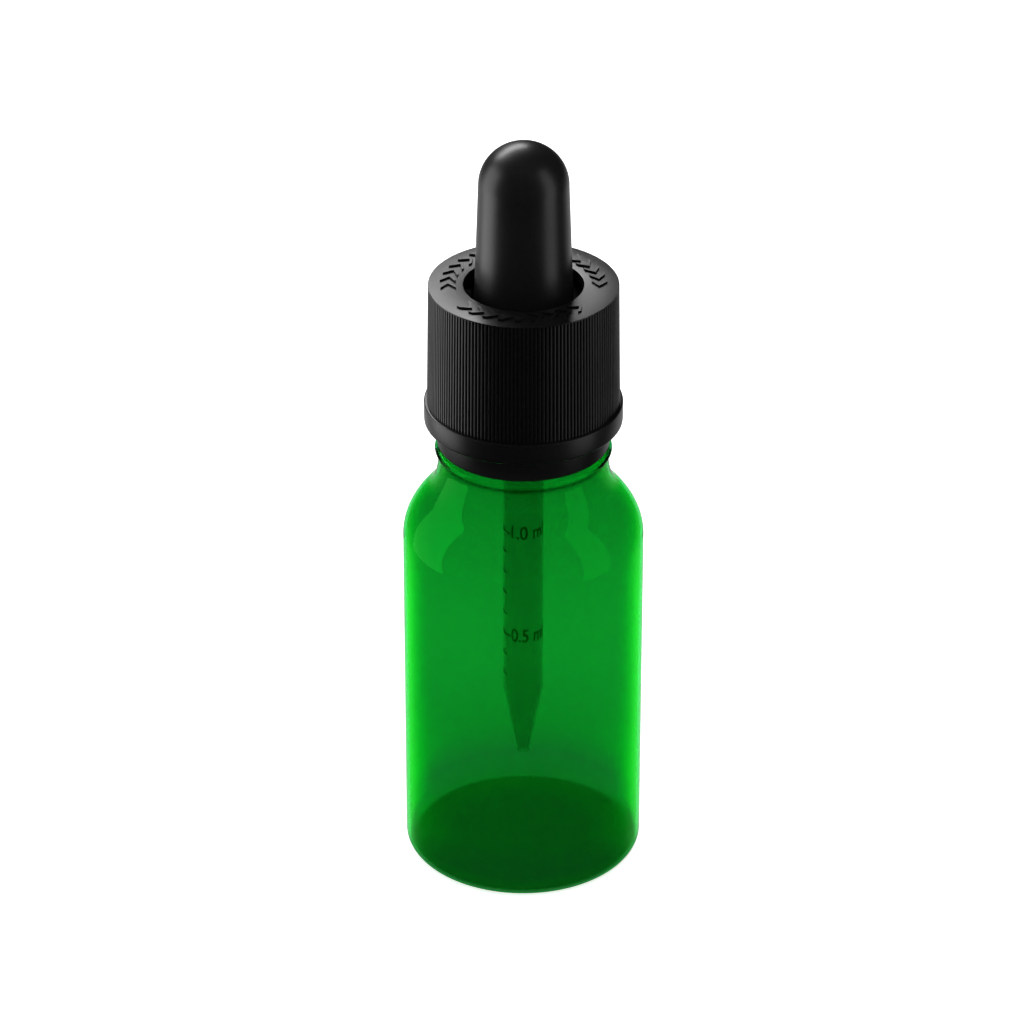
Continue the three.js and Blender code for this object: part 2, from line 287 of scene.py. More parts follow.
def add_node(tree, kind, inputs=None, **settings):
    """Adds one node. Settings are its own properties. Inputs are values, or the sockets to link from."""
    node = tree.nodes.new(kind)
    for name, value in settings.items():
        setattr(node, name, value)
    for socket, value in (inputs or {}).items():
        if isinstance(value, bpy.types.NodeSocket):
            tree.links.new(value, node.inputs[socket])
        else:
            node.inputs[socket].default_value = value
    return node


def new_material(name):
    """A material with an empty node tree, and that tree."""
    material = bpy.data.materials.new(name)
    material.use_nodes = True
    material.node_tree.nodes.clear()
    return material, material.node_tree


def green_container_glass():
    """Blown soda-lime glass, coloured through: clear deep green, with a painted glow at the edges that
    stands in for light that enters sideways. The mould leaves a slow ripple in the surface. Painted shade
    deepens the colour low on the wall and in the base, towards the neck and in the crease under its bead,
    and a painted highlight lightens the bead."""
    material, tree = new_material("green_container_glass")
    where = add_node(tree, "ShaderNodeTexCoord").outputs["Object"]
    height = add_node(tree, "ShaderNodeSeparateXYZ", {"Vector": where}).outputs["Z"]
    share = {}
    for place, (start, full, interpolation) in GLASS_HEIGHTS.items():
        share[place] = add_node(tree, "ShaderNodeMapRange", {
            "Value": height, "From Min": start * MM, "From Max": full * MM,
        }, interpolation_type=interpolation).outputs["Result"]
    # painted shade for the floor's shadow seen through the base: darkest in its middle and lighter on the
    # ring that it stands on
    from_base = add_node(tree, "ShaderNodeVectorMath", {0: where}, operation="LENGTH").outputs["Value"]
    to_ring = add_node(tree, "ShaderNodeMath", {0: from_base, 1: FOOT_RING_R * MM}, operation="PINGPONG")
    in_base = add_node(tree, "ShaderNodeMapRange", {
        "Value": to_ring.outputs["Value"], "From Min": FOOT_RING_R * MM, "From Max": FULL_SHADE_BASE_R * MM,
        "To Min": FOOT_RING_SHADE,
    })
    painted_base_shade = add_node(tree, "ShaderNodeMath", {
        0: in_base.outputs["Result"], 1: share["on_wall"],
    }, operation="MAXIMUM")
    share["foot"] = add_node(tree, "ShaderNodeMath", {
        0: share["low"], 1: painted_base_shade.outputs["Value"],
    }, operation="MULTIPLY").outputs["Value"]
    # the painted glow at the edges is wider low on the wall, for light that enters through the heel
    low_wall = add_node(tree, "ShaderNodeMath", {
        0: share["above_foot"], 1: share["below_middle"],
    }, operation="MULTIPLY")
    painted_glow_start = add_node(tree, "ShaderNodeMapRange", {
        "Value": low_wall.outputs["Value"], "To Min": PAINTED_GLOW_START, "To Max": LOW_PAINTED_GLOW_START,
    })
    facing = add_node(tree, "ShaderNodeLayerWeight", {"Blend": 0.5}).outputs["Facing"]
    share["edge"] = add_node(tree, "ShaderNodeMapRange", {
        "Value": facing, "From Min": painted_glow_start.outputs["Result"], "From Max": PAINTED_GLOW_FULL,
    }, interpolation_type="SMOOTHSTEP").outputs["Result"]
    colour = linear("#43be66")
    for place, shade in GLASS_SHADES:
        colour = add_node(tree, "ShaderNodeMix", {
            "Factor": share[place], "A": colour, "B": linear(shade),
        }, data_type="RGBA").outputs["Result"]
    ripple = add_node(tree, "ShaderNodeTexNoise", {
        "Vector": where, "Scale": per_metre(GLASS_RIPPLE), "Detail": 1.0,
    })
    bump = add_node(tree, "ShaderNodeBump", {
        "Height": ripple.outputs["Fac"], "Strength": 0.25, "Distance": 0.15 * MM,
    })
    shader = add_node(tree, "ShaderNodeBsdfPrincipled", {
        "Base Color": colour, "Normal": bump.outputs["Normal"],
        "Roughness": 0.02, "IOR": GLASS_IOR, "Transmission Weight": 1.0,
        "Specular Tint": [MIRROR_GAIN * c for c in linear("#14ff41")],
    })
    add_node(tree, "ShaderNodeOutputMaterial", {"Surface": shader.outputs["BSDF"]})
    return material


def drawn_tube_glass():
    """Drawn borosilicate tube: nearly colourless, with faint draw lines along its length."""
    material, tree = new_material("drawn_tube_glass")
    where = add_node(tree, "ShaderNodeTexCoord").outputs["Object"]
    stretch = add_node(tree, "ShaderNodeMapping", {"Vector": where, "Scale": (1, 1, 0.03)})
    lines = add_node(tree, "ShaderNodeTexNoise", {
        "Vector": stretch.outputs["Vector"], "Scale": per_metre(DRAW_LINE), "Detail": 2.0,
    })
    colour = add_node(tree, "ShaderNodeMix", {
        "Factor": lines.outputs["Fac"], "A": linear("#cad0cc"), "B": linear("#d6dcd8"),
    }, data_type="RGBA")
    bump = add_node(tree, "ShaderNodeBump", {
        "Height": lines.outputs["Fac"], "Strength": 0.1, "Distance": 0.02 * MM,
    })
    shader = add_node(tree, "ShaderNodeBsdfPrincipled", {
        "Base Color": colour.outputs["Result"], "Normal": bump.outputs["Normal"],
        "Roughness": 0.02, "IOR": 1.2, "Transmission Weight": 1.0,
    })
    add_node(tree, "ShaderNodeOutputMaterial", {"Surface": shader.outputs["BSDF"]})
    return material


def moulded_black(name, dark, light, roughness, grain, grain_depth, specular):
    """A black moulded surface: a fine etched grain, and a slow drift of shade and gloss from the flow."""
    drift = 0.04
    material, tree = new_material(name)
    where = add_node(tree, "ShaderNodeTexCoord").outputs["Object"]
    etch = add_node(tree, "ShaderNodeTexNoise", {
        "Vector": where, "Scale": per_metre(grain), "Detail": 2.0,
    })
    flow = add_node(tree, "ShaderNodeTexNoise", {
        "Vector": where, "Scale": per_metre(MELT_FLOW), "Detail": 3.0,
    })
    colour = add_node(tree, "ShaderNodeMix", {
        "Factor": flow.outputs["Fac"], "A": linear(dark), "B": linear(light),
    }, data_type="RGBA")
    gloss = add_node(tree, "ShaderNodeMapRange", {
        "Value": flow.outputs["Fac"], "From Min": 0.3, "From Max": 0.7,
        "To Min": roughness - drift, "To Max": roughness + drift,
    })
    bump = add_node(tree, "ShaderNodeBump", {
        "Height": etch.outputs["Fac"], "Strength": 0.4, "Distance": grain_depth * MM,
    })
    shader = add_node(tree, "ShaderNodeBsdfPrincipled", {
        "Base Color": colour.outputs["Result"], "Roughness": gloss.outputs["Result"],
        "Normal": bump.outputs["Normal"], "IOR": 1.49, "Specular IOR Level": specular,
    })
    add_node(tree, "ShaderNodeOutputMaterial", {"Surface": shader.outputs["BSDF"]})
    return material


def etched_polypropylene():
    """Black polypropylene from a spark-etched mould: matt, so that it greys where it mirrors the light.
    The real grit is about 0.1 mm and is drawn at 0.3 mm so that it shows."""
    return moulded_black(
        "etched_polypropylene", dark="#050506", light="#0a0a0b",
        roughness=0.33, grain=0.3, grain_depth=0.01, specular=0.42,
    )


def polished_polypropylene():
    """Black polypropylene from a polished mould, as on the tamper ring: a softer etch, a fainter sheen."""
    return moulded_black(
        "polished_polypropylene", dark="#0c0c0d", light="#121213",
        roughness=0.33, grain=0.6, grain_depth=0.006, specular=0.14,
    )


def plain_polypropylene():
    """Black polypropylene of the parts inside, from a plain machined mould: even and slightly greyer."""
    return moulded_black(
        "plain_polypropylene", dark="#1c1c1e", light="#242426",
        roughness=0.5, grain=0.45, grain_depth=0.01, specular=0.4,
    )


def satin_rubber():
    """Moulded butyl rubber: deep black with a soft wide sheen and a skin-like grain.
    The real grain is about 0.1 mm and is drawn at 0.35 mm so that it shows."""
    return moulded_black(
        "satin_rubber", dark="#0b0b0b", light="#101010",
        roughness=0.36, grain=0.35, grain_depth=0.012, specular=0.55,
    )


def fired_ink():
    """Black enamel ink, screen printed and fired on to the tube: matt, with a faintly mottled shade."""
    return moulded_black(
        "fired_ink", dark="#0b0b0b", light="#1a1a1a",
        roughness=0.6, grain=0.25, grain_depth=0.01, specular=0.3,
    )


# Profiles and meshes

def arc(centre_r, centre_z, radius_r, radius_z, start, end, steps=ROUND_STEPS):
    """Points along an elliptical arc in the plane of radius and height."""
    points = []
    for i in range(steps + 1):
        angle = math.radians(start + (end - start) * i / steps)
        points.append((centre_r + radius_r * math.cos(angle), centre_z + radius_z * math.sin(angle)))
    return points


def shoulder(wall_r, top_r, rise, sweep):
    """A shoulder that starts upright at the wall and leans in to a smaller radius: part of an ellipse."""
    reach = (wall_r - top_r) / (1 - math.cos(math.radians(sweep)))
    height = rise / math.sin(math.radians(sweep))
    return arc(wall_r - reach, STRAIGHT_Z, reach, height, 0, sweep, 2 * ROUND_STEPS)


def bend(start, corner, end, steps=FILLET_STEPS):
    """Points along a smooth curve between two places, which leaves each along its line to a corner."""
    points = []
    for i in range(steps + 1):
        t = i / steps
        point = (1 - t) ** 2 * Vector(start) + 2 * t * (1 - t) * Vector(corner) + t * t * Vector(end)
        points.append(tuple(point))
    return points


def run_on(before, here, r):
    """Where the line through two points of a profile reaches a radius."""
    share = (r - here[0]) / (here[0] - before[0])
    return (r, here[1] + share * (here[1] - before[1]))


def inset(profile, depth):
    """A rising profile moved inwards, square to its own line, as the inside of an even wall."""
    points = []
    for i, (r, z) in enumerate(profile):
        before, after = profile[max(i - 1, 0)], profile[min(i + 1, len(profile) - 1)]
        along = (Vector(after) - Vector(before)).normalized()
        points.append((r - depth * along.y, z + depth * along.x))
    return points


def filleted(corners, loop):
    """A profile from corners of radius, height and, where one is rounded, its fillet radius."""
    count = len(corners)
    points = []
    for i, corner in enumerate(corners):
        at_end = not loop and i in (0, count - 1)
        if len(corner) == 2 or at_end:
            points.append(corner[:2])
            continue
        here = Vector(corner[:2])
        before = Vector(corners[i - 1][:2]) - here
        after = Vector(corners[(i + 1) % count][:2]) - here
        half = before.angle(after) / 2
        cut = min(corner[2] / math.tan(half), FILLET_SHARE * before.length, FILLET_SHARE * after.length)
        start = here + before.normalized() * cut
        end = here + after.normalized() * cut
        points.extend(bend(start, here, end))
    return points


def skinned(mesh, lower, upper):
    """Closes the strip between two rings of vertices, or between a ring and a pole."""
    count = max(len(lower), len(upper))
    for i in range(count):
        k = (i + 1) % count
        near = [lower[i % len(lower)], lower[k % len(lower)]]
        far = [upper[k % len(upper)], upper[i % len(upper)]]
        mesh.faces.new(list(dict.fromkeys(near + far)))


def turned(profile, segments, loop, carve=None):
    """A profile turned about the axis. carve gives the radius at each angle where it isn't round."""
    mesh = bmesh.new()
    rings = []
    for r, z in profile:
        ring = []
        for i in range(segments if r > 0 else 1):
            angle = math.radians(TURN * i / segments)
            reach = (carve(r, z, i / segments) if carve else r) * MM
            ring.append(mesh.verts.new((reach * math.cos(angle), reach * math.sin(angle), z * MM)))
        rings.append(ring)
    for lower, upper in zip(rings, rings[1:]):
        skinned(mesh, lower, upper)
    if loop:
        skinned(mesh, rings[-1], rings[0])
    bmesh.ops.recalc_face_normals(mesh, faces=mesh.faces)
    return mesh


def bar(sections):
    """A closed bar through matching polygons, each a list of points in metres."""
    mesh = bmesh.new()
    rings = [[mesh.verts.new(point) for point in section] for section in sections]
    for lower, upper in zip(rings, rings[1:]):
        skinned(mesh, lower, upper)
    mesh.faces.new(rings[0])
    mesh.faces.new(rings[-1])
    bmesh.ops.recalc_face_normals(mesh, faces=mesh.faces)
    return mesh


def round_point(r, degrees, z):
    """A point in metres at a radius, an angle about the axis and a height."""
    angle = math.radians(degrees)
    return (r * math.cos(angle) * MM, r * math.sin(angle) * MM, z * MM)


def plain_mesh(shape):
    """The mesh data of a shape, which is then let go."""
    mesh = bpy.data.meshes.new("shape")
    shape.to_mesh(mesh)
    shape.free()
    return mesh


def repeat_tree():
    """A node tree that repeats a piece round the axis, up the axis, or both."""
    tree = bpy.data.node_groups.new("repeat_about_axis", "GeometryNodeTree")
    for name, kind in (
        ("Piece", "NodeSocketGeometry"),
        ("Count", "NodeSocketInt"),
        ("First angle", "NodeSocketFloat"),
        ("Angle step", "NodeSocketFloat"),
        ("Rise step", "NodeSocketFloat"),
        ("Material", "NodeSocketMaterial"),
    ):
        tree.interface.new_socket(name, in_out="INPUT", socket_type=kind)
    tree.interface.new_socket("Pieces", in_out="OUTPUT", socket_type="NodeSocketGeometry")
    sizes = add_node(tree, "NodeGroupInput").outputs
    index = add_node(tree, "GeometryNodeInputIndex").outputs["Index"]
    turn = add_node(tree, "ShaderNodeMath", {
        0: index, 1: sizes["Angle step"], 2: sizes["First angle"],
    }, operation="MULTIPLY_ADD")
    rise = add_node(tree, "ShaderNodeMath", {0: index, 1: sizes["Rise step"]}, operation="MULTIPLY")
    place = add_node(tree, "ShaderNodeCombineXYZ", {"Z": rise.outputs["Value"]})
    angles = add_node(tree, "ShaderNodeCombineXYZ", {"Z": turn.outputs["Value"]})
    facing = add_node(tree, "FunctionNodeEulerToRotation", {"Euler": angles.outputs["Vector"]})
    points = add_node(tree, "GeometryNodePoints", {
        "Count": sizes["Count"], "Position": place.outputs["Vector"],
    })
    copies = add_node(tree, "GeometryNodeInstanceOnPoints", {
        "Points": points.outputs["Points"], "Instance": sizes["Piece"],
        "Rotation": facing.outputs["Rotation"],
    })
    real = add_node(tree, "GeometryNodeRealizeInstances", {"Geometry": copies.outputs["Instances"]})
    finished = add_node(tree, "GeometryNodeSetMaterial", {
        "Geometry": real.outputs["Geometry"], "Material": sizes["Material"],
    })
    add_node(tree, "NodeGroupOutput", {"Pieces": finished.outputs["Geometry"]})
    return tree


def repeated(shape, material, count, first_angle=0, angle_step=0, rise_step=0):
    """The plain mesh of a shape repeated by the node tree."""
    holder = bpy.data.objects.new("repeat_holder", plain_mesh(shape))
    bpy.context.scene.collection.objects.link(holder)
    modifier = holder.modifiers.new("repeat", "NODES")
    modifier.node_group = REPEAT
    settings = {
        "Count": count,
        "First angle": math.radians(first_angle),
        "Angle step": math.radians(angle_step),
        "Rise step": rise_step * MM,
        "Material": material,
    }
    for item in REPEAT.interface.items_tree:
        if item.name in settings:
            modifier[item.identifier] = settings[item.name]
    evaluated = holder.evaluated_get(bpy.context.evaluated_depsgraph_get())
    mesh = bpy.data.meshes.new_from_object(evaluated)
    bpy.data.objects.remove(holder)
    return mesh


def finished_piece(name, meshes, material, body, node=None):
    """Joins meshes into one piece in one material, and sets it on its body in the frame."""
    whole = bmesh.new()
    for mesh in meshes:
        whole.from_mesh(mesh)
    joined = plain_mesh(whole)
    joined.name = name
    joined.materials.clear()
    joined.materials.append(material)
    for face in joined.polygons:
        face.material_index = 0
    joined.shade_smooth()
    joined.set_sharp_from_angle(angle=math.radians(SHARP_ANGLE))
    piece = bpy.data.objects.new(name, joined)
    bpy.context.scene.collection.objects.link(piece)
    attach(piece, body)
    if node:
        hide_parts(node)
    return piece


# Pieces

def ridge_height(z, turn, first_z, start, end):
    """How far a screw ridge stands out of its wall at a height and a share of a turn."""
    tallest = 0
    for whole in range(math.floor(start), math.ceil(end) + 1):
        along = (turn + whole - start) / (end - start)
        if not 0 <= along <= 1:
            continue
        off_centre = abs(z - first_z - THREAD_PITCH * (turn + whole))
        flank = min(1, max(0, (THREAD_BASE / 2 - off_centre) / ((THREAD_BASE - THREAD_CREST) / 2)))
        fade = min(1, min(along, 1 - along) / THREAD_FADE)
        tallest = max(tallest, THREAD_DEPTH * fade * flank * flank * (3 - 2 * flank))
    return tallest


def upright(r, low, high, rows):
    """Points up a straight wall."""
    return [(r, low + (high - low) * i / rows) for i in range(rows + 1)]


def glass_bottle(glass):
    """The bottle: up its outside from the middle of the base to the mouth, and down its inside."""
    standing_r = BODY_R - HEEL_R
    bead_round = BEAD_HEIGHT / 2
    bead_top = BEAD_Z + BEAD_HEIGHT
    lock_top = LOCK_BEAD_Z + LOCK_BEAD_HEIGHT
    ring_r = standing_r - STANDING_WIDTH
    dome = bend((0, PUSH_UP), (ring_r / 2, PUSH_UP), (ring_r, STAND_Z), ROUND_STEPS)
    body = arc(standing_r, STAND_Z + HEEL_R, HEEL_R, HEEL_R, -90, 0)
    slope = shoulder(BODY_R, NECK_R, NECK_Z - STRAIGHT_Z, SHOULDER_SWEEP)[:-NECK_BLEND_STEPS]
    corner = run_on(slope[-2], slope[-1], NECK_R)
    neck = bend(slope[-1], corner, (NECK_R, BEAD_Z - bead_round), ROUND_STEPS)
    wall = [*slope, *neck[1:]]
    bead = arc(BEAD_R - bead_round, BEAD_Z + bead_round, bead_round, bead_round, BEAD_START, 90)
    finish = filleted([
        (BEAD_R - bead_round, bead_top),
        (THREAD_ROOT_R, bead_top, FULL),
        (THREAD_ROOT_R, LOCK_BEAD_Z, SOFT),
        (LOCK_BEAD_R, LOCK_BEAD_Z + LOCK_BEAD_HEIGHT / 4, SOFT),
        (LOCK_BEAD_R, LOCK_BEAD_Z + LOCK_BEAD_HEIGHT / 2, SOFT),
        (THREAD_ROOT_R, lock_top, SOFT),
        (THREAD_ROOT_R, lock_top + LIP_ROUNDING),
    ], loop=False)
    mouth_low = MOUTH_Z - LIP_ROUNDING
    threaded = upright(THREAD_ROOT_R, lock_top + LIP_ROUNDING, mouth_low, THREAD_ROWS)
    lip = arc(THREAD_ROOT_R - LIP_ROUNDING, mouth_low, LIP_ROUNDING, LIP_ROUNDING, 0, 90)
    inner_lip = arc(BORE_R + LIP_ROUNDING, mouth_low, LIP_ROUNDING, LIP_ROUNDING, 90, 180)
    inner_wall = inset(wall, GLASS_SKIN)
    inner_round = bead_round - GLASS_SKIN
    inner_bead = arc(BEAD_R - bead_round, BEAD_Z + bead_round, inner_round, inner_round, BEAD_START, 90)
    throat = filleted([
        (BORE_R, mouth_low),
        (BORE_R, bead_top - GLASS_SKIN, THROAT_FILLET),
        inner_bead[-1],
    ], loop=False)
    inner_heel = HEEL_R - GLASS_SKIN
    inner_foot = arc(standing_r, STAND_Z + HEEL_R, inner_heel, inner_heel, 0, -90)
    inner_dome = [(r, z + GLASS_SKIN) for r, z in dome[::-1]]
    profile = [
        *dome, *body, *wall, *bead, *finish[1:], *threaded[1:], *lip[1:],
        *inner_lip, *throat[1:-1], *inner_bead[::-1], *inner_wall[::-1], *inner_foot, *inner_dome,
    ]

    def with_thread(r, z, turn):
        on_root = abs(r - THREAD_ROOT_R) < SAME_R and z > lock_top
        return r + ridge_height(z, turn, THREAD_Z, 0, THREAD_TURNS) if on_root else r

    shape = turned(profile, GLASS_SEGMENTS, loop=False, carve=with_thread)
    return finished_piece("bottle_glass", [plain_mesh(shape)], glass, "bottle", "bottle")


def tamper_band(plastic):
    """The broken-off ring, with its hook under the lock bead and the stubs of its bridges."""
    shape = turned(filleted([
        (HOOK_R + HOOK_CHAMFER, RING_Z, CRISP),
        (RING_R, RING_Z, BLUNT),
        (RING_R, RING_TOP_Z, CRISP),
        (RING_BORE_R, RING_TOP_Z, CRISP),
        (RING_BORE_R, HOOK_TOP_Z, EASED),
        (HOOK_R, HOOK_TOP_Z, CRISP),
        (HOOK_R, RING_Z + HOOK_CHAMFER, CRISP),
    ], loop=True), CAP_SEGMENTS, loop=True)
    inner, outer = RING_BORE_R + BRIDGE_INSET, RING_R - BRIDGE_INSET
    half = BRIDGE_WIDTH / 2
    # a stub of broken bridge narrows towards its torn top
    stub = bar([
        [(r * MM, y * width * MM, z * MM) for r, y in ((inner, -1), (outer, -1), (outer, 1), (inner, 1))]
        for z, width in ((RING_TOP_Z - SINK, half), (RING_STUB_Z, BRIDGE_TAPER * half))
    ])
    step = TURN / BRIDGES
    stubs = repeated(stub, plastic, BRIDGES, first_angle=step / 2, angle_step=step)
    meshes = [plain_mesh(shape), stubs]
    return finished_piece("tamper_band", meshes, plastic, "tamper_ring", "tamper_ring")


def drive_tooth(face_z, tip_z):
    """One ratchet tooth on a face, upright on one flank and sloped on the other."""
    up = 1 if tip_z > face_z else -1
    half = TOOTH_ARC / 2
    outline = [
        (-half, face_z - SINK * up),
        (half, face_z - SINK * up),
        (half, tip_z),
        (half - TOOTH_ARC * TOOTH_SLOPE, tip_z),
        (-half, face_z),
    ]
    return bar([
        [round_point(r, up * degrees, z) for degrees, z in outline] for r in (COLLAR_BORE_R, INNER_R)
    ])


def threaded_inner_cap(plastic):
    """The inner cap: a threaded skirt, the shelf over the bulb's flange and a collar with drive teeth."""
    bore_top = SHELF_Z - LIP_ROUNDING
    wall = filleted([
        (INNER_BORE_R, bore_top),
        (INNER_BORE_R, SHELF_Z, ROUNDED),
        (SHELF_HOLE_R, SHELF_Z, CRISP),
        (SHELF_HOLE_R, SHELF_TOP_Z, CRISP),
        (COLLAR_BORE_R, SHELF_TOP_Z, ROUNDED),
        (COLLAR_BORE_R, COLLAR_TOP_Z, CRISP),
        (INNER_R, COLLAR_TOP_Z, CRISP),
        (INNER_R, LIP_TOP_Z, SOFT),
        (LIP_R, LIP_TOP_Z, EASED),
        (LIP_R, LIP_Z, ROUNDED),
        (INNER_R, LIP_Z, CRISP),
        (INNER_R, SKIRT_Z, EASED),
        (INNER_BORE_R, SKIRT_Z),
    ], loop=False)
    profile = [*wall, *upright(INNER_BORE_R, SKIRT_Z, bore_top, THREAD_ROWS)[1:-1]]
    ridge_z = THREAD_Z + THREAD_PITCH / 2
    start = (SKIRT_Z + THREAD_BASE - ridge_z) / THREAD_PITCH

    def with_thread(r, z, turn):
        on_bore = abs(r - INNER_BORE_R) < SAME_R
        return r - ridge_height(z, turn, ridge_z, start, start + THREAD_TURNS) if on_bore else r

    shape = turned(profile, GLASS_SEGMENTS, loop=True, carve=with_thread)
    teeth = repeated(drive_tooth(COLLAR_TOP_Z, TOOTH_TIP_Z), plastic, TEETH, angle_step=TURN / TEETH)
    meshes = [plain_mesh(shape), teeth]
    return finished_piece("threaded_inner_cap", meshes, plastic, "inner_cap", "inner_cap")


def spring_fingers(plastic):
    """The spring between the caps: a flat ring with fingers that slope up from it and give under a push."""
    base_top = SPRING_Z + SPRING_BASE
    base = turned(filleted([
        (SPRING_BORE_R, SPRING_Z, CRISP),
        (SPRING_R, SPRING_Z, CRISP),
        (SPRING_R, base_top, CRISP),
        (SPRING_BORE_R, base_top, CRISP),
    ], loop=True), CAP_SEGMENTS, loop=True)
    sections = []
    for i in range(ROUND_STEPS + 1):
        share = i / ROUND_STEPS
        z = base_top + (SPRING_TOP_Z - base_top) * share
        under = z - FINGER_THICKNESS
        corners = ((SPRING_BORE_R, under), (SPRING_R, under), (SPRING_R, z), (SPRING_BORE_R, z))
        sections.append([round_point(r, FINGER_ARC * share, height) for r, height in corners])
    fingers = repeated(bar(sections), plastic, FINGERS, angle_step=TURN / FINGERS)
    meshes = [plain_mesh(base), fingers]
    spring = finished_piece(
        "spring_fingers", meshes, plastic, "spring_ring", "spring_ring",
    )
    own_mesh(spring)
    return spring


def grip_rib(low_z, high_z):
    """One rib of the grip: a low round crest on steep flanks, drawn in towards the top by the draft."""
    half_pitch = TURN / RIBS / 2
    spread, edge = RIB_FOOT - RIB_CREST, 1 - RIB_FALL
    crest = [(share * RIB_CREST, 1 - RIB_FALL * share ** 2) for share in (0.5, 1)]
    flank = [(RIB_CREST + share * spread, (1 - share) * edge) for share in (0.2, 1)]
    right = crest + flank
    outline = [(-across, rise) for across, rise in right[::-1]] + [(0, 1)] + right
    sections = []
    for z, draft in ((low_z, RIB_DRAFT), (high_z, 0)):
        root = RIB_ROOT_R + draft
        shown = [round_point(root + RIB_DEPTH * rise, half_pitch * across, z) for across, rise in outline]
        sunk = [round_point(root - SINK, half_pitch * side, z) for side in (RIB_CREST, -RIB_CREST)]
        sections.append(shown + sunk)
    return bar(sections)


def turn_mark(direction):
    """One raised chevron on the cap's top, pointing round the cap at angle 0."""
    arm = MARK_LENGTH / 2
    lead = MARK_LEAD * direction
    stroke = MARK_STROKE * direction
    outline = [
        (-arm, -lead), (0, lead), (arm, -lead),
        (arm, -lead - stroke), (0, lead - stroke), (-arm, -lead - stroke),
    ]
    low, high = CAP_TOP_Z - SINK, CAP_TOP_Z + MARK_RELIEF
    return bar([
        [((MARK_R + out) * MM, along * MM, z * MM) for out, along in outline] for z in (low, high)
    ])


def push_and_turn_cap(plastic):
    """The outer cap: a shell with a smooth band, the grip's ribs, raised turn marks and hanging teeth."""
    rim_z = CAP_TOP_Z - RIM_HEIGHT
    rim_r = RIB_ROOT_R + RIB_DEPTH
    shell = turned(filleted([
        (SNAP_R, CAP_Z, CRISP),
        (BAND_R, CAP_Z, ROUNDED),
        (BAND_R, BAND_TOP_Z, SOFT),
        (RIB_ROOT_R + RIB_DRAFT, BAND_TOP_Z),
        (RIB_ROOT_R, rim_z),
        (rim_r, rim_z),
        (rim_r, CAP_TOP_Z, RIM_FILLET),
        (CAP_HOLE_R, CAP_TOP_Z, HOLE_FILLET),
        (CAP_HOLE_R, CAP_UNDERSIDE_Z, CRISP),
        (CAP_BORE_R, CAP_UNDERSIDE_Z, ROUNDED),
        (CAP_BORE_R, POCKET_TOP_Z, CRISP),
        (POCKET_R, POCKET_TOP_Z, CRISP),
        (POCKET_R, SNAP_TOP_Z, CRISP),
        (SNAP_R, SNAP_TOP_Z, CRISP),
    ], loop=True), CAP_SEGMENTS, loop=True)
    step = TURN / TEETH
    rib = grip_rib(BAND_TOP_Z - SINK, rim_z + RIM_HEIGHT / 3)
    hanging = drive_tooth(CAP_UNDERSIDE_Z, CAP_UNDERSIDE_Z - HANGING_TOOTH)
    front = FRONT_ANGLE - MARK_STEP * (FRONT_MARKS - 1) / 2
    back = BACK_ANGLE - MARK_STEP * (BACK_MARKS - 1) / 2
    meshes = [
        plain_mesh(shell),
        repeated(rib, plastic, RIBS, angle_step=TURN / RIBS),
        repeated(hanging, plastic, TEETH, first_angle=step / 2, angle_step=step),
        repeated(turn_mark(1), plastic, FRONT_MARKS, first_angle=front, angle_step=MARK_STEP),
        repeated(turn_mark(-1), plastic, BACK_MARKS, first_angle=back, angle_step=MARK_STEP),
    ]
    return finished_piece("push_and_turn_cap", meshes, plastic, "outer_cap", "outer_cap")


def squeeze_bulb(rubber):
    """The bulb: down its inside to the seat that grips the pipette's head, and up its outside."""
    inner_r = BULB_HIP_R - BULB_WALL
    dome = BULB_TOP_Z - DOME_Z
    seat_r, neck_r, seat_z = FLARE_R + HEAD_GRIP, TUBE_R + HEAD_GRIP, FLARE_Z - HEAD_GRIP
    inside = arc(0, DOME_Z, BULB_CROWN_R - BULB_WALL, dome - BULB_WALL, 90, 0)
    outside = arc(0, DOME_Z, BULB_CROWN_R, dome, 0, 90, 2 * ROUND_STEPS)
    seat = filleted([
        (inner_r, CAP_TOP_Z),
        (inner_r, HEAD_Z, ROUNDED),
        (seat_r, HEAD_Z, CRISP),
        (seat_r, seat_z, CRISP),
        (neck_r, seat_z, CRISP),
        (neck_r, BULB_Z, SOFT),
        (FLANGE_R, BULB_Z, FULL),
        (FLANGE_R, FLANGE_TOP_Z, FULL),
        (BULB_COLLAR_R, FLANGE_TOP_Z, SOFT),
        (BULB_COLLAR_R, SHELF_TOP_Z, BULB_COLLAR_FILLET),
        (BULB_HIP_R, CAP_TOP_Z, BULB_HIP_FILLET),
        outside[0],
    ], loop=False)
    profile = [(0, BULB_TOP_Z - BULB_WALL), *inside[1:], *seat, *outside[1:-1], (0, BULB_TOP_Z)]
    shape = turned(profile, BULB_SEGMENTS, loop=False)
    bulb = finished_piece("squeeze_bulb", [plain_mesh(shape)], rubber, "bulb", "bulb")
    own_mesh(bulb)
    return bulb


def dropper_tube(glass):
    """The pipette: a tube with a drawn tip and a flared head."""
    shape = turned(filleted([
        (TIP_BORE_R, TIP_Z, CRISP),
        (TIP_R, TIP_Z, BLUNT),
        (TUBE_R, TAPER_Z, TAPER_FILLET),
        (TUBE_R, FLARE_Z, FLARE_FILLET),
        (FLARE_R, FLARE_Z + FLARE_RISE, ROUNDED),
        (FLARE_R, HEAD_Z, ROUNDED),
        (TUBE_BORE_R, HEAD_Z, ROUNDED),
        (TUBE_BORE_R, TAPER_Z, TAPER_FILLET),
    ], loop=True), TUBE_SEGMENTS, loop=True)
    return finished_piece("dropper_tube", [plain_mesh(shape)], glass, "dropper", "pipette")


def on_tube(across_degrees, out, z):
    """A point in metres on the tube's wall. Angle 0 faces the front and grows to the right."""
    return round_point(TUBE_R + out, FRONT_ANGLE + across_degrees, z)


